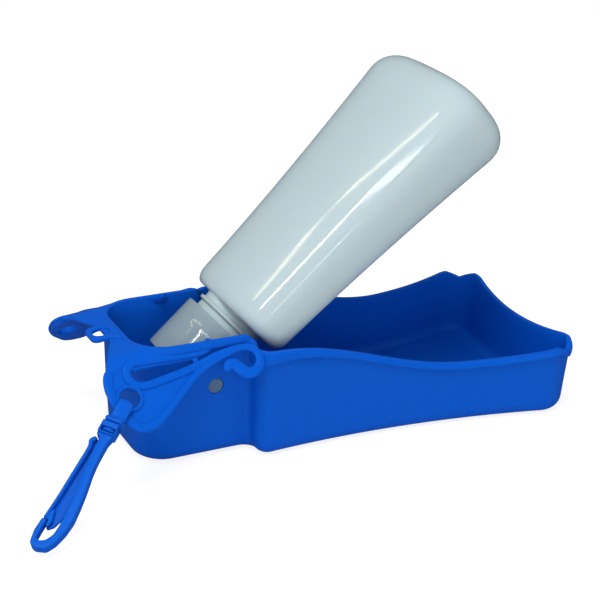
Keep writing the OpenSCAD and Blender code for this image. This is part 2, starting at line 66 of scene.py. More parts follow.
def surface_group():
    """Shared fine surface: a faint unevenness of the moulding and of its gloss."""
    group = bpy.data.node_groups.new("Moulded surface", "ShaderNodeTree")
    for name, low, value in SURFACE_INPUTS:
        socket = group.interface.new_socket(name, in_out="INPUT", socket_type="NodeSocketFloat")
        socket.min_value = low
        socket.default_value = value
    group.interface.new_socket("Roughness", in_out="OUTPUT", socket_type="NodeSocketFloat")
    group.interface.new_socket("Normal", in_out="OUTPUT", socket_type="NodeSocketVector")
    given = group.nodes.new("NodeGroupInput").outputs
    result = group.nodes.new("NodeGroupOutput").inputs
    place = group.nodes.new("ShaderNodeTexCoord").outputs["Object"]
    fine = node(group, "ShaderNodeTexNoise", Detail=GRAIN_DETAIL, Roughness=GRAIN_ROUGHNESS)
    broad = node(group, "ShaderNodeTexNoise", Scale=BROAD_SCALE, Detail=BROAD_DETAIL)
    bump = node(group, "ShaderNodeBump", Distance=BUMP_METRES)
    gloss = group.nodes.new("ShaderNodeMapRange")
    join(group,
         (place, fine.inputs["Vector"]),
         (place, broad.inputs["Vector"]),
         (given["Grain size"], fine.inputs["Scale"]),
         (given["Depth"], bump.inputs["Strength"]),
         (fine.outputs["Fac"], bump.inputs["Height"]),
         (broad.outputs["Fac"], gloss.inputs["Value"]),
         (given["Gloss low"], gloss.inputs["To Min"]),
         (given["Gloss high"], gloss.inputs["To Max"]),
         (gloss.outputs["Result"], result["Roughness"]),
         (bump.outputs["Normal"], result["Normal"]))
    return group


SURFACE = surface_group()


def plastic(name, colour, gloss, grain=400.0, depth=0.05, **sockets):
    """A plastic with the shared fine surface; gloss is its lowest and its highest roughness."""
    mat = bpy.data.materials.new(name)
    mat.use_nodes = True
    tree = mat.node_tree
    bsdf = tree.nodes["Principled BSDF"]
    bsdf.inputs["Base Color"].default_value = (*colour, 1)
    for key, value in sockets.items():
        bsdf.inputs[key.replace("_", " ")].default_value = value
    surface = tree.nodes.new("ShaderNodeGroup")
    surface.node_tree = SURFACE
    for socket, value in zip(SURFACE_INPUTS, (grain, depth, *gloss)):
        surface.inputs[socket[0]].default_value = value
    join(tree, *((surface.outputs[key], bsdf.inputs[key]) for key in ("Roughness", "Normal")))
    return mat


BLUE = plastic("Blue tray plastic", (0.002, 0.093, 0.56), (0.2, 0.3), Specular_IOR_Level=0.26,
               Specular_Tint=(0.3, 0.6, 1.0, 1))
HOOK_BLUE = plastic("Blue hook plastic", (0.003, 0.10, 0.58), (0.16, 0.26), Specular_IOR_Level=0.45,
                    Specular_Tint=(0.4, 0.7, 1.0, 1))
MILK = plastic("Milky bottle plastic", (0.47, 0.575, 0.60), (0.06, 0.09), 160.0, 0.015,
               Subsurface_Weight=0.25, Subsurface_Scale=0.01, Specular_IOR_Level=0.5)
MILK_NECK = plastic("Milky neck plastic", (0.42, 0.50, 0.51), (0.2, 0.26), 160.0, 0.02,
                    Specular_IOR_Level=0.5)
GREY = plastic("Translucent grey plastic", (0.30, 0.39, 0.44), (0.07, 0.1), 220.0, 0.02,
               Alpha=0.78, Specular_IOR_Level=0.55)
# The pins are the cap's grey plastic; their colour is darker and bluer than the cap's to paint in the tray's
# blue light showing through them
PIN_PAINTED_BLUE = plastic("Grey pin plastic", (0.09, 0.165, 0.28), (0.16, 0.24), 220.0, 0.02,
                   Specular_IOR_Level=0.6)
RUBBER = plastic("Silicone", (0.62, 0.64, 0.6), (0.45, 0.6), 500.0, 0.05)


# Mesh helpers
def mesh_of(name, points, faces):
    """A mesh from points and faces."""
    mesh = bpy.data.meshes.new(name)
    mesh.from_pydata([tuple(p) for p in points], [], faces)
    mesh.update()
    return mesh


def shown(name, data):
    """An object in the scene for a mesh, a curve, a lamp or a camera."""
    obj = bpy.data.objects.new(name, data)
    bpy.context.scene.collection.objects.link(obj)
    return obj


def finished(obj):
    """The mesh of an object with its modifiers; the object itself goes."""
    bpy.context.view_layer.update()
    view = bpy.context.evaluated_depsgraph_get()
    mesh = bpy.data.meshes.new_from_object(obj.evaluated_get(view))
    bpy.data.objects.remove(obj)
    return mesh


def rings(name, rows, first=True, loop=False):
    """A skin over rings of points, closed at both ends.

    Without first, the first end stays open; loop joins the last ring to the first.
    """
    n = len(rows[0])
    m = len(rows)
    points = [p for row in rows for p in row]
    faces = []
    for r in range(m if loop else m - 1):
        a, b = r * n, ((r + 1) % m) * n
        faces += [(a + i, a + (i + 1) % n, b + (i + 1) % n, b + i) for i in range(n)]
    if not loop and first:
        faces.append(tuple(range(n - 1, -1, -1)))
    if not loop:
        faces.append(tuple((m - 1) * n + i for i in range(n)))
    return mesh_of(name, points, faces)


def arc(cx, cy, r, a0, a1, n):
    """Points of an arc from one angle to another, in degrees."""
    return [(cx + r * math.cos(math.radians(a0 + (a1 - a0) * i / n)),
             cy + r * math.sin(math.radians(a0 + (a1 - a0) * i / n))) for i in range(n + 1)]


def circle(cx, cy, r):
    """The outline of a round hole, one point every 9 degrees."""
    return arc(cx, cy, r, 0, 351, 39)


def rounded(corners, n=7):
    """Points of a closed outline whose corners (x, y, radius) are rounded."""
    out = []
    k = len(corners)
    for i, (x, y, r) in enumerate(corners):
        c = Vector((x, y))
        a = (Vector(corners[i - 1][:2]) - c)
        b = (Vector(corners[(i + 1) % k][:2]) - c)
        la, lb = a.length, b.length
        a.normalize()
        b.normalize()
        half = math.acos(max(-1, min(1, a.dot(b)))) / 2
        if r <= 0 or half > math.radians(89):
            out.append((x, y))
            continue
        back = min(r / math.tan(half), 0.49 * la, 0.49 * lb)
        r = back * math.tan(half)
        s, e = c + a * back, c + b * back
        m = c + (a + b).normalized() * (r / math.sin(half))
        a0 = math.atan2(s.y - m.y, s.x - m.x)
        sweep = (math.atan2(e.y - m.y, e.x - m.x) - a0 + math.pi) % (2 * math.pi) - math.pi
        out += [(m.x + r * math.cos(a0 + sweep * j / n), m.y + r * math.sin(a0 + sweep * j / n))
                for j in range(n + 1)]
    return out


def through(points, steps=6):
    """A smooth line through points of any dimension."""
    p = [Vector(q) for q in points]
    out = []
    for i in range(len(p) - 1):
        a, b, c, d = p[max(0, i - 1)], p[i], p[i + 1], p[min(len(p) - 1, i + 2)]
        for j in range(steps):
            t = j / steps
            out.append(0.5 * ((2 * b) + (c - a) * t + (2 * a - 5 * b + 4 * c - d) * t * t
                              + (3 * b - a - 3 * c + d) * t * t * t))
    out.append(p[-1])
    return out


ROUND_END = (25, 50, 72)
THINNEST = 0.02


def tube(name, line, wide, deep, up, sides=16, closed=False, square=2.4, ends=(True, True)):
    """A bar swept along a line, with round ends.

    Wide and deep are half sizes: numbers, or functions of the part of the line that is passed.
    """
    k = len(line)
    rows = []
    for i, p in enumerate(line):
        if closed:
            t = (line[(i + 1) % k] - line[i - 1]).normalized()
        else:
            t = (line[min(k - 1, i + 1)] - line[max(0, i - 1)]).normalized()
        u = Vector(up)
        s = t.cross(u).normalized()
        u = s.cross(t).normalized()
        f = i / (k - 1)
        w = wide(f) if callable(wide) else wide
        d = deep(f) if callable(deep) else deep
        rows.append((p, t, s, u, w, d))

    def ring(p, s, u, w, d):
        """A superellipse round a point of the line."""
        out = []
        for j in range(sides):
            a = 2 * math.pi * j / sides
            c, q = math.cos(a), math.sin(a)
            out.append(p + s * w * math.copysign(abs(c) ** (2 / square), c)
                       + u * d * math.copysign(abs(q) ** (2 / square), q))
        return out
    skin = [ring(p, s, u, w, d) for p, t, s, u, w, d in rows]
    if closed:
        return rings(name, skin, loop=True)
    for end, flag in ((0, ends[0]), (-1, ends[1])):
        if not flag:
            continue
        p, t, s, u, w, d = rows[end]
        t = -t if end == 0 else t
        caps = []
        for a in ROUND_END:
            a = math.radians(a)
            caps.append(ring(p + t * min(w, d) * math.sin(a), s, u,
                             max(THINNEST, w - min(w, d) * (1 - math.cos(a))),
                             max(THINNEST, d * math.cos(a))))
        skin = caps[::-1] + skin if end == 0 else skin + caps
    return rings(name, skin)


def plate(name, outlines, low, high, bevel=0.4, steps=3):
    """A flat plate with rounded edges between two heights; the outlines after the first are holes."""
    curve = bpy.data.curves.new(name, "CURVE")
    curve.dimensions = "2D"
    curve.fill_mode = "BOTH"
    curve.extrude = (high - low) / 2 - bevel
    curve.bevel_depth = bevel
    curve.bevel_resolution = steps
    curve.offset = -bevel
    for outline in outlines:
        spline = curve.splines.new("POLY")
        spline.points.add(len(outline) - 1)
        for q, p in zip(spline.points, outline):
            q.co = (p[0], p[1], 0, 1)
        spline.use_cyclic_u = True
    mesh = finished(shown(name, curve))
    mesh.transform(Matrix.Translation((0, 0, (low + high) / 2)))
    return mesh


WELD = 0.0005


def piece(name, parts, body, slot, *nodes, angle=32):
    """One piece in the row frame, from parts in millimetres: each a mesh, a matrix and a material."""
    bm = bmesh.new()
    mats = []
    for mesh, place, mat in parts:
        copy = mesh.copy()
        copy.transform(place)
        if place.determinant() < 0:
            copy.flip_normals()
        if mat not in mats:
            mats.append(mat)
        first = len(bm.faces)
        bm.from_mesh(copy)
        bm.faces.ensure_lookup_table()
        for f in bm.faces[first:]:
            f.material_index = mats.index(mat)
        bpy.data.meshes.remove(copy)
    bmesh.ops.remove_doubles(bm, verts=bm.verts, dist=WELD)
    bmesh.ops.recalc_face_normals(bm, faces=bm.faces)
    mesh = bpy.data.meshes.new(name)
    bm.to_mesh(mesh)
    bm.free()
    mesh.transform(Matrix.Scale(MM, 4))
    for mat in mats:
        mesh.materials.append(mat)
    mesh.shade_smooth()
    mesh.set_sharp_from_angle(angle=math.radians(angle))
    obj = shown(name, mesh)
    if nodes:
        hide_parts(*nodes)
    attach(obj, body)
    return obj


I4 = Matrix.Identity(4)
MIRROR = Matrix.Scale(-1, 4, (0, 1, 0))

# The tray's plan
WAIST_X, WAIST_HALF, SIDE_R = 25.0, 40.2, 490.0
END_X, END_R, CORNER_R = 153.9, 230.0, 13.0
HEAD_HALF, HEAD_END, HEAD_R = 29.0, -67.7, 16.5
SHOULDER_X = -12.8
WALL, FLOOR, DRAFT, END_DRAFT, HEAD_DRAFT = 2.2, 2.2, 0.026, 0.09, 0.06
BASE_R, FLOOR_R = 6.5, 4.6
LIP_H, LIP_FLARE, FLARE_LENGTH = 3.4, 4, 14
HEAD_Z, NECK_Z, SIDE_Z, END_Z = 61.4, 56.0, 34.1, 33.2
SIDE_LOW_X, SIDE_RISE, END_RISE = 106, 0.00165, 0.0024
CORNER_SWELL, CORNER_DIP, DIP_SHARE = 1.2, 4.2, 0.3
HEAD_FALL, SIDE_FROM, SIDE_FALL = 9, -8, 108
BOWL_END_X, HEAD_END_X = 100, -50
STEEP_Z, STEEP_PART = 26, 0.15


def side_y(x):
    """Half width of the bowl along its curved side."""
    return WAIST_HALF + SIDE_R - math.sqrt(SIDE_R ** 2 - (x - WAIST_X) ** 2)


def wave(a, b, u):
    """A soft change from one value to another as u goes from 0 to 1."""
    return a + (b - a) * (1 - math.cos(math.pi * min(1, max(0, u)))) / 2


step_w = side_y(SHOULDER_X + 8) - HEAD_HALF
inner_r = min(4.2, 0.35 * step_w)
outer_r = min(7.6, 0.62 * step_w)
meet_x = (SHOULDER_X + outer_r + outer_r * WAIST_X / SIDE_R) / (1 + outer_r / SIDE_R)
meet_lean = math.degrees(math.asin((WAIST_X - meet_x) / SIDE_R))
shoulder_c = (SHOULDER_X + outer_r, side_y(meet_x) - outer_r * math.cos(math.radians(meet_lean)))
side_c = Vector((WAIST_X, WAIST_HALF + SIDE_R))
end_c = Vector((END_X + END_R, 0))
gap = end_c - side_c
along = ((SIDE_R + CORNER_R) ** 2 - (END_R + CORNER_R) ** 2 + gap.length ** 2) / (2 * gap.length)
across = math.sqrt((SIDE_R + CORNER_R) ** 2 - along ** 2)
gu = gap.normalized()
corner_c = side_c + gu * along + Vector((gu.y, -gu.x)) * across
to_side = (side_c - corner_c).normalized()
to_end = (end_c - corner_c).normalized()
side_last = corner_c + to_side * CORNER_R
end_first = corner_c + to_end * CORNER_R
plateau_x = SHOULDER_X - inner_r


def head_rim(x):
    """Height of the rim along the head, falling where the head meets the bowl."""
    return wave(HEAD_Z, NECK_Z - 0.8, (x - plateau_x) / HEAD_FALL)


def side_rim(x):
    """Height of the rim along the bowl's side."""
    if x < SIDE_LOW_X:
        return wave(NECK_Z, SIDE_Z, (x - SIDE_FROM) / SIDE_FALL)
    return SIDE_Z + SIDE_RISE * (x - SIDE_LOW_X) ** 2


def end_rim(y):
    """Height of the rim along the bowl's wide end."""
    return END_Z + END_RISE * y * y


def corner_rim(u):
    """Height of the rim along a corner: a swell with a dip in its middle."""
    level = side_rim(side_last.x) * (1 - u) + end_rim(end_first.y) * u
    return level + CORNER_SWELL * math.sin(math.pi * u) - CORNER_DIP * max(0, 1 - abs(u - 0.5) / DIP_SHARE)


def plan_half():
    """Half of the plan from the middle of the head's end: (x, y, outward x, outward y, rim height)."""
    out = []
    cx, cy = HEAD_END + HEAD_R, HEAD_HALF - HEAD_R
    out += [(HEAD_END, cy * i / 6, -1, 0, HEAD_Z) for i in range(6)]
    for i in range(17):
        a = math.radians(180 - 90 * i / 16)
        out.append((cx + HEAD_R * math.cos(a), cy + HEAD_R * math.sin(a), math.cos(a), math.sin(a), HEAD_Z))
    n = 22
    out += [(cx + (plateau_x - cx) * i / n, HEAD_HALF, 0, 1, HEAD_Z) for i in range(1, n)]
    for i in range(9):
        a = math.radians(270 + 90 * i / 8)
        x, y = plateau_x + inner_r * math.cos(a), HEAD_HALF + inner_r + inner_r * math.sin(a)
        out.append((x, y, -math.cos(a), -math.sin(a), head_rim(x)))
    for i in range(1, 15):
        a = math.radians(180 - (90 + meet_lean) * i / 14)
        x, y = shoulder_c[0] + outer_r * math.cos(a), shoulder_c[1] + outer_r * math.sin(a)
        out.append((x, y, math.cos(a), math.sin(a), side_rim(x)))
    n = 64
    for i in range(1, n + 1):
        x = meet_x + (side_last.x - meet_x) * i / n
        out.append((x, side_y(x), (WAIST_X - x) / SIDE_R, (side_c.y - side_y(x)) / SIDE_R, side_rim(x)))
    a0 = math.atan2(to_side.y, to_side.x)
    a1 = math.atan2(to_end.y, to_end.x)
    n = 24
    for i in range(1, n + 1):
        a = a0 + (a1 - a0) * i / n
        out.append((corner_c.x + CORNER_R * math.cos(a), corner_c.y + CORNER_R * math.sin(a),
                    math.cos(a), math.sin(a), corner_rim(i / n)))
    n = 20
    for i in range(1, n + 1):
        y = end_first.y * (1 - i / n)
        x = end_c.x - math.sqrt(END_R ** 2 - y * y)
        out.append((x, y, (end_c.x - x) / END_R, -y / END_R if y else 0, end_rim(y)))
    return out


half = plan_half()
PLAN = [(x, -y, nx, -ny, z) for x, y, nx, ny, z in half] + half[-2:0:-1]


def lip_height(p):
    """Height of the lip, which flares towards the shoulder."""
    if p[0] <= SHOULDER_X - 1:
        return LIP_H
    return LIP_H + LIP_FLARE * math.exp(-(p[0] - SHOULDER_X) / FLARE_LENGTH)


def lean_of(x, n):
    """The wall's lean per unit of height: more at the bowl's wide end and at the head's end."""
    if x > BOWL_END_X:
        return DRAFT + (END_DRAFT - DRAFT) * max(0, n) ** 2
    if x < HEAD_END_X:
        return DRAFT + (HEAD_DRAFT - DRAFT) * max(0, -n) ** 2
    return DRAFT


def slant(p, z):
    """How far the wall leans out at a height; the head's end stands straighter near its rim."""
    full = lean_of(p[0], p[2])
    return DRAFT * z + (full - DRAFT) * (z if p[0] > 0 else min(z, STEEP_Z + STEEP_PART * z))


def at(p, out, z):
    """A point of the plan moved outward, at a height."""
    return Vector((p[0] + p[2] * out, p[1] + p[3] * out, z))


def row_at(out, rise):
    """A ring at a distance outward from the wall and above the rim."""
    return [at(p, slant(p, p[4]) + out, p[4] + rise) for p in PLAN]


def lip_row(out, rise, part=0.0):
    """A ring of the lip's face: a height above its foot, and a part of what is left to its top."""
    return [at(p, slant(p, p[4]) + out, p[4] - lip_height(p) + rise + (lip_height(p) - LIP_ROUND) * part)
            for p in PLAN]


LIP_ROUND, INSIDE_TOP, BELOW_LIP = 1.1, 0.55, 0.5
LIP_FACE, LIP_LEAN, LIP_BOTTOM = 1.3, 0.9, 0.4
LIP_FOOT = ((-0.15, -0.45), (0.1, -0.25), (0.85, -0.12), (1.2, 0.1), (LIP_FACE, LIP_BOTTOM))
LIP_TOP = ((0.16, -0.34), (-0.12, -0.12), (-0.5, 0), (-1.2, 0), (-1.75, -0.05), (-2.05, -0.22),
           (-2.2, -INSIDE_TOP))


def tray_shell():
    """The tray's skin from the underside, up the outer wall, over the lip and down to the inner floor."""
    rows = [[at(p, -BASE_R, 0) for p in PLAN]]
    for a in range(10, 91, 10):
        z = BASE_R * (1 - math.cos(math.radians(a)))
        o = -BASE_R * (1 - math.sin(math.radians(a)))
        rows.append([at(p, slant(p, z) + o, z) for p in PLAN])
    for k in range(1, 8):
        rows.append([at(p, slant(p, z), z) for p in PLAN
                     for z in [BASE_R + (p[4] - lip_height(p) - BELOW_LIP - BASE_R) * k / 7]])
    rows += [lip_row(o, z) for o, z in LIP_FOOT]
    rows += [lip_row(LIP_FACE - LIP_LEAN * (k / 4) ** 1.3, LIP_BOTTOM, k / 4) for k in range(1, 5)]
    rows += [row_at(o, z) for o, z in LIP_TOP]
    for k in range(1, 7):
        rows.append([at(p, slant(p, z) - WALL, z) for p in PLAN
                     for z in [p[4] - INSIDE_TOP + (FLOOR + FLOOR_R - p[4] + INSIDE_TOP) * k / 7]])
    for a in range(90, -1, -10):
        z = FLOOR + FLOOR_R * (1 - math.cos(math.radians(a)))
        rows.append([at(p, slant(p, z) - WALL - FLOOR_R * (1 - math.sin(math.radians(a))), z) for p in PLAN])
    return rings("shell", rows)


# Wings, web and eyelet tab
SLOPE = math.radians(44)
WING_T, BEAD_H = 2.4, 0.9
WING_Y, WING_Z = HEAD_HALF + 0.6, HEAD_Z - 2.9
AX = Vector((1, 0, 0))
AD = Vector((0, -math.cos(SLOPE), -math.sin(SLOPE)))
AN = Vector((0, -math.sin(SLOPE), math.cos(SLOPE)))
WING_O = Vector((0, -WING_Y, WING_Z))
WING = Matrix(((AX.x, AD.x, AN.x, WING_O.x), (AX.y, AD.y, AN.y, WING_O.y),
               (AX.z, AD.z, AN.z, WING_O.z), (0, 0, 0, 1)))
ARM_X = -42.0
HOLE = (-79.3, 18.2)
HOLE_R = 4.8
EDGE_DROP = 0.25
FLANGE_STEPS = 14
UP = (0, 0, 1)


def on_wing(x, d, n=0.0):
    """A place on the near wing: along it, down its slope, and off its face."""
    return WING_O + AX * x + AD * d + AN * n


WING_OUT = [(-37, 1.2, 0), (-84.2, 1.2, 0), (-89.8, 10, 11), (-86.5, 23.6, 9), (-77, 35.4, 7.5),
            (-68, 34, 8), (-46, 14.2, 14), (ARM_X, 12.4, 0), (ARM_X, 3.4, 0), (-38.6, 2.2, 3)]
SLOT = [(-75.8, 3.9, 3), (-44.6, 4.2, 1.3), (-44.6, 7, 1.3), (-69, 11.5, 6), (-75, 10.6, 3)]


def head_inside(angle):
    """Radius of the head's inside at its rim, towards an angle in degrees."""
    return HEAD_R + slant((HEAD_END, 0, math.cos(math.radians(angle))), HEAD_Z) - WALL + EDGE_DROP


def flange_stations():
    """Where the flange passes: the head's edge, the way outward, the place on the plate, the way there."""
    cx, cy = HEAD_END + HEAD_R, -(HEAD_HALF - HEAD_R)
    edge_z = HEAD_Z - EDGE_DROP
    web = [(-76.2, -11.4, 60.2), (-78.3, -15.6, 59.9), (-80.6, -20.4, 59.5), (-82.7, -25.4, 59.0)]
    side = ((-33.6, -3.4, 1.2), (-34.6, -1.8, 0.7), (-36.2, 0.2, 0.2), (-38.2, 2.0, -0.05),
            (-40.5, 3.4, -0.06), (-44, 4.0, -0.06), (-48, 4.0, -0.06), (-53.3, 4.0, -0.06))
    out = [(Vector((x, cy - head_inside(270), edge_z)), Vector((0, -1, 0)), on_wing(x, d, n), AD)
           for x, d, n in side]
    turn = [(262, on_wing(-57.5, 4.0, -0.06), AD),
            (253, on_wing(-63, 4.0, -0.06), AD),
            (244, on_wing(-69, 4.2, -0.06), AD),
            (236, on_wing(-75.5, 4.6, -0.06), AD + Vector((-0.25, 0, 0))),
            (229, on_wing(-81.2, 4.4, -0.06), AD + Vector((-0.6, 0, 0))),
            (223, on_wing(-85.3, 2.4, -0.06), AD * 0.5 + Vector((-0.9, 0, 0))),
            (216, Vector(web[3]), Vector((-1, -0.35, -0.12))),
            (208, Vector(web[2]), Vector((-1, -0.3, -0.1))),
            (199, Vector(web[1]), Vector((-1, -0.28, -0.08))),
            (190, Vector(web[0]), Vector((-1, -0.3, -0.06)))]
    for angle, place, direction in turn:
        c, s = math.cos(math.radians(angle)), math.sin(math.radians(angle))
        r = head_inside(angle)
        out.append((Vector((cx + r * c, cy + r * s, edge_z)), Vector((c, s, 0)), place, direction))
    for y, x in ((-11, -75.6), (-9.6, -75.2), (-7.5, -75), (-4, -75), (0.0, -75)):
        out.append((Vector((cx - head_inside(180), y, edge_z)), Vector((-1, 0, 0)),
                    Vector((x, y * 0.9, 60.25)), Vector((-1, 0, -0.12))))
    return out


def flange_section(edge, outward, place, direction, onward):
    """A closed ring: the flange's top from edge to place, its round nose, and its underside."""
    t = direction.normalized()
    reach = (place - edge).length
    c1 = edge + outward.normalized() * min(3.4, 0.42 * reach) + Vector((0, 0, 0.3))
    c2 = place - t * min(3.2, 0.4 * reach)
    top = []
    for i in range(FLANGE_STEPS + 1):
        u = i / FLANGE_STEPS
        v = 1 - u
        top.append(edge * v ** 3 + c1 * 3 * u * v ** 2 + c2 * 3 * u * u * v + place * u ** 3)
    normals = []
    for i in range(FLANGE_STEPS + 1):
        slope = (top[min(FLANGE_STEPS, i + 1)] - top[max(0, i - 1)]).normalized()
        normal = slope.cross(onward).normalized()
        normals.append(-normal if normal.z < 0 else normal)
    half = normals[-1] * (WING_T / 2)
    nose = [place - half + half * math.cos(math.radians(a)) + t * (WING_T / 2) * math.sin(math.radians(a))
            for a in range(30, 151, 30)]
    under = [p - normal * WING_T * (0.85 if i < 2 else 1) for i, (p, normal) in enumerate(zip(top, normals))]
    return top + nose + under[::-1]


def flange():
    """The smooth roll from the head's rim into wing, web and eyelet tab: one closed skin, near side."""
    stations = flange_stations()
    fine = list(zip(*[through([station[i] for station in stations], 5) for i in range(4)]))
    rows = []
    for j, station in enumerate(fine):
        before, after = fine[max(0, j - 1)], fine[min(len(fine) - 1, j + 1)]
        onward = ((after[0] + after[2]) - (before[0] + before[2])).normalized()
        rows.append(flange_section(*station, onward))
    return rings("flange", rows)


def ramp(f, start, length):
    """0 before start, 1 after start + length, and a straight change between."""
    return min(1, max(0, (f - start) / length))


def border_half(f):
    """The border's bead is slimmer along the edge that runs back to the arm."""
    return 2.35 - 0.6 * ramp(f, 0.58, 0.16)


def limb_half(f):
    """The V's bead starts thin at the rim and is a little slimmer in its second limb."""
    return 2.3 - 1.1 * max(0, 1 - f / 0.06) - 0.25 * ramp(f, 0.4, 0.2)


BORDER = [(-78.5, 3.6, -1.3), (-82.6, 3.7, -0.8), (-85.6, 5.6, -0.4), (-86.9, 8.6, -0.2),
          (-87.2, 12.0, -0.1), (-86.6, 17.6, -0.1), (-84.8, 23.2, -0.1), (-82.0, 28.4, -0.1),
          (-78.6, 32.0, -0.1), (-74.6, 32.9, -0.1), (-70.0, 31.8, -0.1), (-64.6, 28.4, -0.1),
          (-57.8, 22.9, -0.1), (-51.2, 17.3, -0.1), (-46.2, 13.2, -0.1), (-41.75, 10.6, -0.1)]
LIMB = [(-34.3, -1.3, 0.2), (-35.6, 0.1, 0.2), (-38, 1.3, 0.1), (-42, 1.9, -0.1), (-50, 2.0, -0.1),
        (-60, 1.8, -0.1), (-69, 1.7, -0.1), (-74.4, 2.2, -0.1), (-77.4, 5.4, -0.1), (-77.2, 9.6, -0.1),
        (-74.0, 12.8, -0.1), (-68.6, 13.5, -0.1), (-61, 12.2, -0.1), (-52.4, 10.6, -0.1),
        (-46.5, 9.3, -0.1), (-41.75, 8.0, -0.1)]
BORDER_HIGH, LIMB_HIGH = 1.15, 1.2
HOLE_RING = 1.7


def wing_parts():
    """The near wing: a plate with slot and hole, and beads on the border, round the hole and along the V."""
    hole = circle(*HOLE, HOLE_R)
    plates = [plate("wing", [rounded(WING_OUT, 9), rounded(SLOT, 8), hole], -WING_T, 0, 0.5),
              plate("hole ring", [circle(*HOLE, HOLE_R + HOLE_RING), hole], -1.2, BEAD_H, 0.45)]
    start = (True, False)
    beads = [tube("border", through(BORDER, 5), border_half, BORDER_HIGH, UP, 18, square=2.3, ends=start),
             tube("limbs", through(LIMB, 5), limb_half, LIMB_HIGH, UP, 20, square=2.2, ends=start)]
    return [(mesh, WING, BLUE) for mesh in (plates[0], beads[0], plates[1], beads[1])]


TAB_X, TAB_DROOP, TAB_HOLE_R = -77, math.radians(8), 4.1


def eyelet_parts():
    """The tab at the head's end, which droops a little, with its round hole."""
    drop = (HEAD_END - HEAD_DRAFT * HEAD_Z + 1.6 - TAB_X) * math.sin(TAB_DROOP) - 0.4
    place = Matrix.Translation((TAB_X, 0, HEAD_Z - drop - WING_T)) @ Matrix.Rotation(-TAB_DROOP, 4, "Y")
    outline = rounded([(7, 14, 0), (5.2, 11.4, 5), (1.0, 7.0, 8), (-6.4, 7.0, 6.9), (-6.4, -7.0, 6.9),
                       (1.0, -7.0, 8), (5.2, -11.4, 5), (7, -14, 0)], 12)
    return [(plate("tab", [outline, circle(0, 0, TAB_HOLE_R)], 0, WING_T, 0.8, 4), place, BLUE)]


def bored(mesh, place, radius, length):
    """The mesh with a round hole through it, along the local Z of a place."""
    bm = bmesh.new()
    bmesh.ops.create_cone(bm, cap_ends=True, segments=64, radius1=radius, radius2=radius,
                          depth=length, matrix=place)
    drill = bpy.data.meshes.new("drill")
    bm.to_mesh(drill)
    bm.free()
    whole, tool = shown("whole", mesh), shown("tool", drill)
    cut = whole.modifiers.new("bore", "BOOLEAN")
    cut.operation = "DIFFERENCE"
    cut.solver = "EXACT"
    cut.object = tool
    out = finished(whole)
    bpy.data.objects.remove(tool)
    return out


PIVOT = Vector((-31.2, 0, 37.4))
PIN_BORE_R, BORE_LENGTH = 3.95, 90


def tray_parts():
    """Shell, pin bores, and wing and flange on both sides."""
    across = Matrix.Translation(PIVOT) @ Matrix.Rotation(math.radians(90), 4, "X")
    parts = [(bored(tray_shell(), across, PIN_BORE_R, BORE_LENGTH), I4, BLUE)]
    roll = flange()
    wing = wing_parts()
    for side in (I4, MIRROR):
        parts.append((roll, side, BLUE))
        parts += [(mesh, side @ place, mat) for mesh, place, mat in wing]
    return parts + eyelet_parts()


piece("Tray_moulding", tray_parts(), "tray", "tray_plastic", "tray", angle=38)

# Belt clip arms
LEAN = math.radians(10)
ROOT_X = ARM_X + 0.3
AX2 = AX * math.cos(LEAN) + AN * math.sin(LEAN)
AN2 = AN * math.cos(LEAN) - AX * math.sin(LEAN)
ARM_O = on_wing(ROOT_X, 0, BEAD_H)
ARM = Matrix(((AX2.x, AD.x, AN2.x, ARM_O.x), (AX2.y, AD.y, AN2.y, ARM_O.y),
              (AX2.z, AD.z, AN2.z, ARM_O.z), (0, 0, 0, 1)))
ARM_LINE = [(-0.1, 8.0, -1.0), (3.6, 6.9, -1.1), (8.0, 5.6, -1.2), (15, 4.6, -1.2), (19.8, 4.4, -1.2),
            (23.8, 5.0, -1.2), (26.6, 7.2, -1.2), (27.7, 10.8, -1.2), (26.9, 14.4, -1.2),
            (24.3, 16.8, -1.2), (21.2, 17.3, -1.2), (18.6, 16.0, -1.2), (17.1, 13.9, -1.2),
            (15.8, 12.1, -1.2), (14.1, 11.1, -1.2), (12.5, 11.5, -1.2), (11.4, 13.1, -1.2)]
SECOND_LINE = [(-0.1, 10.6, -1.0), (4, 8.9, -1.15), (8, 7.6, -1.3), (12, 6.6, -1.4), (17, 5.4, -1.5)]
ARM_ROOT = [(0.05, 7.4, 0.2), (8, 4.6, 8), (15, 4, 3), (15, 6.6, 3), (8, 8.4, 6), (0.05, 11.8, 0.2)]


def arm_half(f):
    """The arm is slimmer in its first half and fuller round its curl."""
    slim = 0.3 * math.sin(math.pi * min(1, f / 0.5)) ** 2
    full = 0.85 * math.sin(math.pi * max(0, f - 0.45) / 0.55)
    return 2.05 - slim + full


def second_half(f):
    """The second bead tapers towards its end."""
    return 1.5 - 0.3 * f


def arm_parts(side):
    """The spring arm with its curl, the second bead beside its root, and the root's web."""
    tip = (False, True)
    meshes = [tube("arm", through(ARM_LINE, 6), arm_half, 1.2, UP, 22, square=2.3, ends=tip),
              tube("second", through(SECOND_LINE, 6), second_half, 1.15, UP, 18, square=2.3, ends=tip),
              plate("root", [rounded(ARM_ROOT, 8)], -2.3, -0.8, 0.4)]
    return [(mesh, side @ ARM, BLUE) for mesh in meshes]


for name, side in (("near", I4), ("far", MIRROR)):
    piece(name.capitalize() + "_clip_arm_piece", arm_parts(side),
          name + "_clip", "tray_plastic", name + "_clip_arm")

# Cap, valve, washer and bottle
TILT = math.radians(41.9)
BOTTLE = Matrix.Translation(PIVOT) @ Matrix.Rotation(math.radians(90) - TILT, 4, "Y")


def turned(name, profile, n=96):
    """A closed profile of (radius, height), turned about the local Z axis."""
    angles = [2 * math.pi * i / n for i in range(n)]
    rows = [[Vector((r * math.cos(a), r * math.sin(a), z)) for a in angles] for r, z in profile]
    return rings(name, rows, loop=True)


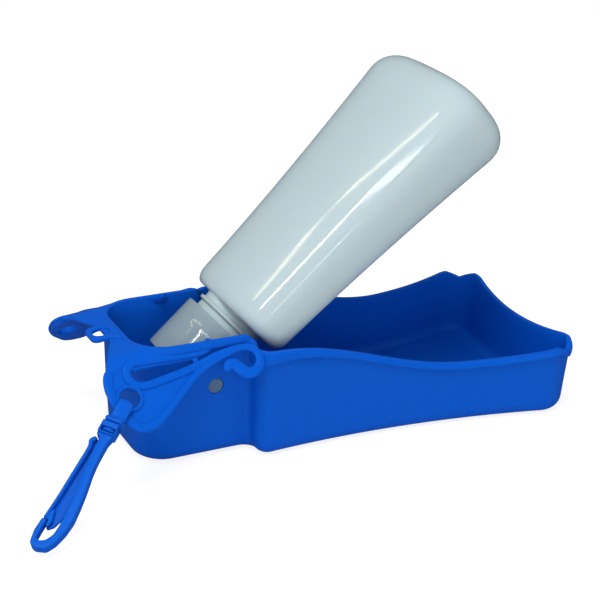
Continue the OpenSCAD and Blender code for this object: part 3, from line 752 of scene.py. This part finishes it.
CAP_R, CAP_WALL = 21.5, 2.1
CAP_LOW, DECK, DECK_T, SKIRT = -6.8, -0.6, 2.0, 22.0
CAP_IN = CAP_R - CAP_WALL
DECK_TOP = DECK + DECK_T
PIN_START = 20.4
PIN_R, PIN_COLLAR_R = 3.8, 6


def cap_mesh():
    """The cap's wall, its deck with the outlet hole, and the skirt above and below the deck."""
    return turned("cap", [
        (CAP_IN + 0.3, CAP_LOW), (CAP_R - 0.7, CAP_LOW), (CAP_R - 0.2, CAP_LOW + 0.2),
        (CAP_R, CAP_LOW + 0.7), (CAP_R, 4), (CAP_R, 12), (CAP_R, SKIRT - 0.8),
        (CAP_R - 0.25, SKIRT - 0.2), (CAP_R - 0.8, SKIRT), (CAP_IN + 0.3, SKIRT),
        (CAP_IN, SKIRT - 0.3), (CAP_IN, 12), (CAP_IN, DECK_TOP + 0.5), (CAP_IN - 0.5, DECK_TOP),
        (4.4, DECK_TOP), (4.2, DECK_TOP - 0.2), (4.2, DECK + 0.2), (4.4, DECK),
        (CAP_IN - 0.6, DECK), (CAP_IN, DECK - 0.6), (CAP_IN, CAP_LOW + 0.3)])


def pin_mesh():
    """A pivot pin, from inside the cap's wall to just short of the tray's outer face, with its collar."""
    end = HEAD_HALF + DRAFT * PIVOT.z - PIN_START
    collar = end - WALL - 0.4
    return turned("pin", [
        (0.02, 0), (PIN_COLLAR_R, 0), (PIN_COLLAR_R, collar - 0.5), (PIN_R, collar - 0.2),
        (PIN_R, end - 0.5), (3.5, end - 0.15), (3.0, end - 0.1), (2.4, end - 0.5), (0.02, end - 0.6)], 48)


def cap_parts():
    """The cap with a pin on each side."""
    pin = pin_mesh()
    out = [(cap_mesh(), BOTTLE, GREY)]
    for angle in (90, -90):
        outward = Matrix.Rotation(math.radians(angle), 4, "X") @ Matrix.Translation((0, 0, PIN_START))
        out.append((pin, BOTTLE @ outward, PIN_PAINTED_BLUE))
    return out


piece("Cap_moulding", cap_parts(), "bottle", "cap_plastic", "screw_cap")

SHOULDER_T, BASE_T = 30.8, 183.6
HALF_TOP, HALF_BASE, DEEP_TOP, DEEP_BASE = 35.4, 46.0, 19.6, 27.2
SHOULDER_R, BOTTLE_BASE_R, NECK_R = 7.0, 16.0, 17.0
BODY_LEN = BASE_T - SHOULDER_T
SQUARE_TOP, SQUARE_GAIN = 2.45, 0.65
SHOULDER_FLAT, SHOULDER_STEP = 0.32, 9
BASE_DEEP, BASE_WIDE = 0.85, 1.05
PATCH_DEEP, PATCH_WIDE = 16.5, 20.5
RING = 128
NECK_LOW = DECK_TOP + 1.6


def share(t):
    """Share of the bottle's body passed at a height along its axis."""
    return max(0, (t - SHOULDER_T) / BODY_LEN)


def half_w(t):
    """Half width of the bottle, the wide way."""
    return HALF_TOP + (HALF_BASE - HALF_TOP) * share(t) ** 1.45


def half_d(t):
    """Half depth of the bottle, the flat way."""
    return DEEP_TOP + (DEEP_BASE - DEEP_TOP) * share(t) ** 1.6


def oval(t, a, b, p=None):
    """A ring of the bottle at a height, a superellipse; without p it squares off towards the base."""
    p = p or SQUARE_TOP + SQUARE_GAIN * share(t)
    out = []
    for i in range(RING):
        u = 2 * math.pi * i / RING
        c, s = math.cos(u), math.sin(u)
        x = a * math.copysign(abs(c) ** (2 / p), c)
        y = b * math.copysign(abs(s) ** (2 / p), s)
        out.append(Vector((x, y, t)))
    return out


def bottle_body():
    """The bottle's outer skin, from the neck over the shoulder to the round edge of the base."""
    rows = [oval(NECK_LOW, NECK_R - 2, NECK_R - 2, 2),
            oval(NECK_LOW, NECK_R - 0.3, NECK_R - 0.3, 2),
            oval(NECK_LOW + 0.3, NECK_R, NECK_R, 2),
            oval(SHOULDER_T - 2.0, NECK_R, NECK_R, 2),
            oval(SHOULDER_T - 1.0, NECK_R + 0.1, NECK_R + 0.2, 2),
            oval(SHOULDER_T - 0.2, NECK_R + 0.3, NECK_R + 1.2, 2)]
    for a in (0, 12, 24, 36, 48, 60, 75, 90):
        r = math.radians(a)
        g = SHOULDER_R * (1 - math.sin(r))
        t = SHOULDER_T + SHOULDER_R * (1 - math.cos(r))
        rows.append(oval(t, half_d(t) - SHOULDER_FLAT * g, half_w(t) - g - (SHOULDER_STEP if a == 0 else 0)))
    for i in range(1, 28):
        t = SHOULDER_T + SHOULDER_R + (BODY_LEN - SHOULDER_R - BOTTLE_BASE_R) * i / 28
        rows.append(oval(t, half_d(t), half_w(t)))
    for a in range(0, 91, 9):
        r = math.radians(a)
        g = BOTTLE_BASE_R * (1 - math.cos(r))
        t = BASE_T - BOTTLE_BASE_R * (1 - math.sin(r))
        rows.append(oval(t, half_d(t) - BASE_DEEP * g, half_w(t) - BASE_WIDE * g))
    rows.append(oval(BASE_T - 0.4, half_d(BASE_T) - PATCH_DEEP, half_w(BASE_T) - PATCH_WIDE))
    return rings("body", rows, first=False)


def neck_bead():
    """The ring on the neck below the cap's skirt."""
    return turned("bead", [(NECK_R - 0.5, 25.0), (NECK_R + 1.2, 25.5), (NECK_R + 1.6, 26.0),
                           (NECK_R + 1.6, 26.8), (NECK_R + 1.2, 27.3), (NECK_R - 0.5, 27.8)])


QUARTER_TURN = math.radians(90)
SPIRAL_STEPS = 40
THREAD_SIZES = ("Neck radius", "First turn height", "Pitch", "Turns", "Ridge height", "Ridge foot",
                "Ridge crest")


def thread_tree():
    """Geometry nodes that sweep a ridge of trapezoid section along a spiral round the bottle's neck."""
    tree = bpy.data.node_groups.new("Screw thread", "GeometryNodeTree")
    for name in THREAD_SIZES:
        tree.interface.new_socket(name, in_out="INPUT", socket_type="NodeSocketFloat")
    tree.interface.new_socket("Plastic", in_out="INPUT", socket_type="NodeSocketMaterial")
    tree.interface.new_socket("Thread", in_out="OUTPUT", socket_type="NodeSocketGeometry")
    sizes = tree.nodes.new("NodeGroupInput").outputs
    rise = node(tree, "ShaderNodeMath", operation="MULTIPLY")
    path = node(tree, "GeometryNodeCurveSpiral", Resolution=SPIRAL_STEPS)
    ridge = node(tree, "GeometryNodeCurvePrimitiveQuadrilateral", mode="TRAPEZOID", Offset=0)
    turn = node(tree, "GeometryNodeTransform", Rotation=(0, 0, QUARTER_TURN))
    upright = node(tree, "GeometryNodeSetCurveNormal", mode="Z_UP")
    sweep = tree.nodes.new("GeometryNodeCurveToMesh")
    sweep.inputs["Fill Caps"].default_value = True
    lift = tree.nodes.new("ShaderNodeCombineXYZ")
    raised = tree.nodes.new("GeometryNodeTransform")
    real = tree.nodes.new("GeometryNodeRealizeInstances")
    made = tree.nodes.new("GeometryNodeSetMaterial")
    result = tree.nodes.new("NodeGroupOutput").inputs
    join(tree,
         (sizes["Pitch"], rise.inputs[0]),
         (sizes["Turns"], rise.inputs[1]),
         (sizes["Turns"], path.inputs["Rotations"]),
         (sizes["Neck radius"], path.inputs["Start Radius"]),
         (sizes["Neck radius"], path.inputs["End Radius"]),
         (rise.outputs[0], path.inputs["Height"]),
         (sizes["Ridge height"], ridge.inputs["Height"]),
         (sizes["Ridge foot"], ridge.inputs["Bottom Width"]),
         (sizes["Ridge crest"], ridge.inputs["Top Width"]),
         (ridge.outputs["Curve"], turn.inputs["Geometry"]),
         (path.outputs["Curve"], upright.inputs["Curve"]),
         (upright.outputs["Curve"], sweep.inputs["Curve"]),
         (turn.outputs["Geometry"], sweep.inputs["Profile Curve"]),
         (sizes["First turn height"], lift.inputs["Z"]),
         (sweep.outputs["Mesh"], raised.inputs["Geometry"]),
         (lift.outputs["Vector"], raised.inputs["Translation"]),
         (raised.outputs["Geometry"], real.inputs["Geometry"]),
         (real.outputs["Geometry"], made.inputs["Geometry"]),
         (sizes["Plastic"], made.inputs["Material"]),
         (made.outputs["Geometry"], result["Thread"]))
    return tree


def neck_thread(**sizes):
    """The neck's screw thread as a plain mesh, in millimetres."""
    holder = shown("Thread holder", bpy.data.meshes.new("Thread holder"))
    modifier = holder.modifiers.new("Thread", "NODES")
    modifier.node_group = thread_tree()
    for item in modifier.node_group.interface.items_tree:
        if item.in_out == "INPUT":
            modifier[item.identifier] = sizes[item.name.replace(" ", "_").lower()]
    return finished(holder)


thread = neck_thread(neck_radius=NECK_R + 0.55, first_turn_height=NECK_LOW + 2.4, pitch=4.0, turns=2.5,
                     ridge_height=1.9, ridge_foot=2.2, ridge_crest=0.9, plastic=MILK_NECK)
piece("Bottle_moulding",
      [(bottle_body(), BOTTLE, MILK), (neck_bead(), BOTTLE, MILK_NECK), (thread, BOTTLE, MILK_NECK)],
      "bottle", "bottle_plastic", "bottle", angle=40)


def washer_mesh():
    """The flat ring between the neck's edge and the cap's deck."""
    low, high = 1.45, 2.95
    return turned("washer", [(NECK_R - 3.4, low), (CAP_IN - 0.5, low), (CAP_IN - 0.35, low + 0.15),
                             (CAP_IN - 0.35, high - 0.15), (CAP_IN - 0.5, high), (NECK_R - 3.4, high)])


def valve_mesh():
    """The outlet's button: a dome below the deck and a sleeve up through the deck's hole."""
    return turned("valve", [(0.02, DECK - 1.5), (4.6, DECK - 1.2), (5.7, DECK - 0.9), (5.7, DECK - 0.05),
                            (4.1, DECK - 0.05), (4.1, DECK_TOP - 0.2), (3.0, DECK_TOP - 0.2),
                            (3.0, DECK - 0.2), (0.02, DECK - 0.5)], 48)


piece("Washer", [(washer_mesh(), BOTTLE, RUBBER)], "bottle", "silicone", "sealing_washer")
piece("Valve_button", [(valve_mesh(), BOTTLE, RUBBER)], "bottle", "silicone", "outlet_valve")

# Swivel eye, snap hook and gate
BAR_OFFSET, BAR_TURN = 7.4, math.radians(138)
BAR = WING @ Matrix.Translation((HOLE[0] + BAR_OFFSET * math.cos(BAR_TURN),
                                 HOLE[1] + BAR_OFFSET * math.sin(BAR_TURN), -WING_T / 2))
HOOK_SWING, HOOK_TILT, HOOK_SWIVEL = math.radians(133), math.radians(-0.4), math.radians(22)
HOOK_BAR = (BAR @ Matrix.Rotation(HOOK_SWING, 4, "Z") @ Matrix.Rotation(HOOK_TILT, 4, "Y")
            @ Matrix.Scale(-1, 4, (0, 1, 0)))
HOOK = HOOK_BAR @ Matrix.Rotation(HOOK_SWIVEL, 4, "X")
ALONG = Matrix.Rotation(math.radians(90), 4, "Y")
BAR_HALF = WING_T / 2 + BEAD_H + 1.4
STRAP_Y = 0.3


def strap_half(f):
    """The strap is narrower where it passes through the hole."""
    return 3.45 - 0.8 * max(0, 1 - min(f, 1 - f) / 0.17)


def eye_parts():
    """The strap round the wing's edge, the block that carries it, and the swivel pin with its head."""
    high = BAR_HALF + 0.9
    loop = rounded([(-4.8, -high, 3), (5.2, -high, 2.4), (5.2, high, 2.4), (-4.8, high, 3)], 10)
    strap = [Vector((x, STRAP_Y, z)) for x, z in loop]
    block = rounded([(4.7, -4.0, 1.2), (7, -4.0, 0.8), (7, 4.6, 0.8), (4.7, 4.0, 1.2)], 6)
    pin = [(0.02, 6), (2.2, 6), (2.2, 10.6), (3.2, 10.65), (3.3, 10.8), (3.3, 11.9), (3.0, 12.2),
           (0.02, 12.2)]
    return [(tube("strap", strap, 0.95, strap_half, (0, 1, 0), 24, closed=True), HOOK_BAR, HOOK_BLUE),
            (plate("block", [block], -3.6, 3.6, 0.7, 4), HOOK, HOOK_BLUE),
            (turned("pin", pin, 40), HOOK_BAR @ ALONG, HOOK_BLUE)]


piece("Eye_moulding", eye_parts(), "eye", "hook_plastic", "swivel_eye")

COLLAR, COLLAR_HIGH, WINDOW = 7.3, 10.3, 13.5
GATE_S, TIP_S, END_S = 16.1, 60.6, 74.6
OUTER_EDGE = [(73.2, 1.8, 3), (69.2, 4.2, 6), (63.4, 5.8, 10), (57, 6.5, 14), (50, 5.9, 16), (42, 4.9, 20),
              (33, 3.3, 14), (27, 2.7, 8), (WINDOW + 4, 2.6, 5), (WINDOW - 0.4, 3.6, 0.4)]
LIP_EDGE = [(66, 1.6, 5), (69.6, -0.4, 3), (70.8, -3.2, 2), (69.6, -4.4, 2), (66, -4.4, 4),
            (TIP_S, -4.2, 0.6), (TIP_S, -6.6, 0.8), (67, -7, 5), (73.2, -6.0, 4), (END_S, -3.0, 3)]
HOOK_FACE = [(WINDOW - 0.4, -4, 0.4), (GATE_S - 1.4, -4.2, 1), (GATE_S - 0.4, -2.1, 0.5), (19.5, -1.8, 1),
             (25, -1.5, 8), (32.6, -1.1, 10), (40, 0.0, 12), (47, 1.1, 12), (54, 1.6, 12), (61, 2.0, 9)]
HOOK_BACK = [(WINDOW - 0.4, -4, 0.4), (GATE_S - 1.4, -4.2, 1), (GATE_S - 0.4, -2.1, 0.5), (20, 0.3, 3),
             (32, 1.4, 10), (42, 3.2, 12), (52, 4.6, 12), (60, 4.2, 8), (64.5, 2.2, 4)]


def bar(name, xs, ys, r, low, high, bevel, steps):
    """A rectangular plate of the hook's collar, between two places along the hook and two across it."""
    corners = [(xs[0], ys[0], r), (xs[1], ys[0], r), (xs[1], ys[1], r), (xs[0], ys[1], r)]
    return plate(name, [rounded(corners, 4)], low, high, bevel, steps)


def hook_parts():
    """The hook's face, its thinner back, and the collar: cheeks and cross pieces round a window."""
    meshes = [plate("face", [rounded(HOOK_FACE + LIP_EDGE + OUTER_EDGE, 8)], -0.75, 2.5, 0.8, 4),
              plate("back", [rounded(HOOK_BACK + LIP_EDGE + OUTER_EDGE, 8)], -2.5, -0.2, 0.6, 4)]
    meshes += [bar("cheek", (COLLAR, WINDOW), ys, 0.3, -3.2, 3.2, 0.15, 2)
               for ys in ((-4.2, -3.4), (3.4, 3.8))]
    meshes += [bar("collar", xs, (-4.2, 3.8), 0.6, -3.3, 3.3, 0.7, 4)
               for xs in ((COLLAR, COLLAR_HIGH), (WINDOW - 0.5, WINDOW + 0.2))]
    return [(mesh, HOOK, HOOK_BLUE) for mesh in meshes]


piece("Hook_moulding", hook_parts(), "hook", "hook_plastic", "snap_hook")

BLADE = [(GATE_S, -4.4, 0.8), (22, -4.0, 6), (40, -4.6, 20), (54, -5.4, 12), (TIP_S - 0.4, -6.2, 0.4),
         (TIP_S - 0.4, -3.8, 0.4), (TIP_S + 2.6, -3.8, 0.8), (TIP_S + 3.2, -2.8, 0.8), (61.8, -0.6, 2),
         (57.8, 0.7, 3), (50, 1.1, 12), (44, 0.3, 12), (37, -0.8, 12), (30, -1.8, 10), (22, -2.4, 6),
         (GATE_S, -2.4, 0.8)]
RIB = [(GATE_S + 0.8, -3.9, 0), (GATE_S + 2.4, -4.9, 0), (GATE_S + 4.4, -4.2, 0), (24, -4.0, 0),
       (32, -4.3, 0), (40, -4.6, 0), (48, -4.9, 0), (54, -5.3, 0), (TIP_S - 1.15, -5.75, 0)]
GATE_TIP = [(55, -4.6, 1), (TIP_S - 0.4, -5.6, 0.3), (TIP_S - 0.4, -3.85, 0.3), (TIP_S + 2.6, -3.85, 0.8),
            (TIP_S + 2.8, -2.4, 1), (60, -2.0, 2), (55, -3.4, 1)]


def rib_half(f):
    """The rib tapers towards the gate's tip."""
    return 1.15 - 0.35 * f


def gate_parts():
    """A thin blade that fills the hook's opening, its thicker tip, and a rib along its free edge."""
    meshes = [plate("blade", [rounded(BLADE, 8)], -2.2, -0.9, 0.35, 3),
              plate("tip", [rounded(GATE_TIP, 6)], -1.4, 1.7, 0.5, 3),
              tube("rib", through(RIB, 6), rib_half, 1.9, UP, 18, square=3)]
    return [(mesh, HOOK, HOOK_BLUE) for mesh in meshes]


piece("Gate_moulding", gate_parts(), "gate", "hook_plastic", "hook_gate")

# Floor, world, lamps and camera
FLOOR_GREY, FLOOR_GLOW, GLOW_SHARE = 0.86, 1.3, 0.64
FLOOR_SHEEN, FLOOR_SHEEN_POWER = (0.4, 0.65, 1, 1), 0.09
WORLD_LIGHT, WORLD_POWER = (0.93, 0.96, 1.0, 1), 0.44
WORLD_SHEEN, WORLD_SHEEN_POWER = (0.6, 0.8, 1, 1), 0.1
WHITE = (1, 1, 1, 1)
FLOOR_HALF, FLOOR_Z = 9, -0.0004


def by_ray(tree, kind, lit, seen, seen_share, sheen):
    """Sets a tree's surface: lit for most rays, seen for camera rays, sheen for glossy rays."""
    out = tree.nodes.new(kind)
    path = tree.nodes.new("ShaderNodeLightPath")
    direct = node(tree, "ShaderNodeMath", operation="MAXIMUM")
    part = node(tree, "ShaderNodeMath", operation="MULTIPLY")
    part.inputs[1].default_value = seen_share
    first = tree.nodes.new("ShaderNodeMixShader")
    last = tree.nodes.new("ShaderNodeMixShader")
    join(tree,
         (path.outputs["Is Camera Ray"], direct.inputs[0]),
         (path.outputs["Is Transmission Ray"], direct.inputs[1]),
         (direct.outputs[0], part.inputs[0]),
         (part.outputs[0], first.inputs["Fac"]),
         (lit.outputs[0], first.inputs[1]),
         (seen.outputs[0], first.inputs[2]),
         (path.outputs["Is Glossy Ray"], last.inputs["Fac"]),
         (first.outputs[0], last.inputs[1]),
         (sheen.outputs[0], last.inputs[2]),
         (last.outputs[0], out.inputs["Surface"]))


def floor_material():
    """A pale floor that looks nearly white to the camera and dim and bluish in reflections."""
    mat = bpy.data.materials.new("Pale floor")
    mat.use_nodes = True
    tree = mat.node_tree
    tree.nodes.clear()
    grey = node(tree, "ShaderNodeBsdfDiffuse", Color=(FLOOR_GREY, FLOOR_GREY, FLOOR_GREY, 1))
    glow = node(tree, "ShaderNodeEmission", Color=WHITE, Strength=FLOOR_GLOW)
    sheen = node(tree, "ShaderNodeEmission", Color=FLOOR_SHEEN, Strength=FLOOR_SHEEN_POWER)
    by_ray(tree, "ShaderNodeOutputMaterial", grey, glow, GLOW_SHARE, sheen)
    return mat


def floor_object():
    """One large square just below the tray."""
    corners = [(x * FLOOR_HALF, y * FLOOR_HALF, FLOOR_Z) for x, y in ((-1, -1), (1, -1), (1, 1), (-1, 1))]
    mesh = mesh_of("Floor", corners, [(0, 1, 2, 3)])
    mesh.materials.append(floor_material())
    return shown("Floor", mesh)


def studio_world():
    """Soft light all round, white to the camera and dim and bluish in reflections."""
    world = bpy.data.worlds.new("Studio")
    bpy.context.scene.world = world
    world.use_nodes = True
    tree = world.node_tree
    tree.nodes.clear()
    soft = node(tree, "ShaderNodeBackground", Color=WORLD_LIGHT, Strength=WORLD_POWER)
    white = node(tree, "ShaderNodeBackground", Color=WHITE, Strength=1.0)
    sheen = node(tree, "ShaderNodeBackground", Color=WORLD_SHEEN, Strength=WORLD_SHEEN_POWER)
    by_ray(tree, "ShaderNodeOutputWorld", soft, white, 1.0, sheen)


stage = [floor_object()]
studio_world()

MIDDLE = Vector((0.03, 0, 0.09))


def placed(obj, x, y, z, place):
    """Gives an object its axes and its place."""
    rows = zip(x, y, z, place)
    obj.matrix_world = Matrix((*rows, (0, 0, 0, 1)))


def lamp(name, first, last, wide, energy, colour=(1, 1, 1), glossy=True):
    """A strip lamp between two places in the studio, turned towards the middle of the object."""
    a, b = Vector(first), Vector(last)
    centre = (a + b) / 2
    z = (centre - MIDDLE).normalized()
    x = b - a - z * (b - a).dot(z)
    data = bpy.data.lights.new(name, "AREA")
    data.energy = energy
    data.color = colour
    data.shape = "RECTANGLE"
    data.size = x.length
    data.size_y = wide
    x.normalize()
    obj = shown(name, data)
    placed(obj, x, z.cross(x), z, centre)
    obj.visible_glossy = glossy
    stage.append(obj)


WARM = (1.0, 0.86, 0.56)
COOL = (0.93, 0.97, 1.0)
lamp("Key", (-0.16, -0.53, 1.15), (-0.45, -0.08, 1.19), 0.5, 8.3, glossy=False)
lamp("Front fill", (0.35, -1.22, 0.36), (-0.29, -1.2, 0.45), 0.6, 2.4, glossy=False)
lamp("Streak low", (-0.59, -0.43, 0.63), (-0.635, -0.36, 0.845), 0.04, 0.8, COOL)
lamp("Streak high", (-0.63, -0.38, 0.84), (-0.50, -0.88, 0.72), 0.035, 0.62, COOL)
lamp("Warm low", (-0.775, 0.03, 0.875), (-0.66, 0.38, 0.872), 0.02, 0.26, WARM)
lamp("Warm high", (-0.643, 0.38, 0.90), (-0.637, -0.22, 0.985), 0.02, 0.42, WARM)
lamp("Neck glint", (-0.32, -1.03, 0.35), (-0.275, -1.045, 0.385), 0.03, 0.1, COOL)
LENS, SENSOR, NEAR_CLIP = 96, 36, 0.01
CAMERA_PLACE = Vector((-0.3099, -0.6441, 0.3736))
AZIMUTH, ELEVATION, ROLL = math.radians(27.609), math.radians(23.327), math.radians(2.507)


def camera():
    """The camera of the photograph: its place, its lens, and where it looks."""
    data = bpy.data.cameras.new("Camera")
    data.lens = LENS
    data.sensor_width = SENSOR
    data.clip_start = NEAR_CLIP
    level = math.cos(ELEVATION)
    forward = Vector((math.sin(AZIMUTH) * level, math.cos(AZIMUTH) * level, -math.sin(ELEVATION)))
    flat = Vector((math.cos(AZIMUTH), -math.sin(AZIMUTH), 0))
    steep = flat.cross(forward)
    right = flat * math.cos(ROLL) + steep * math.sin(ROLL)
    up = -flat * math.sin(ROLL) + steep * math.cos(ROLL)
    obj = shown("Camera", data)
    placed(obj, right, up, -forward, CAMERA_PLACE)
    return obj


scene = bpy.context.scene
scene.camera = camera()
stage.append(scene.camera)
scene.view_settings.view_transform = "Standard"
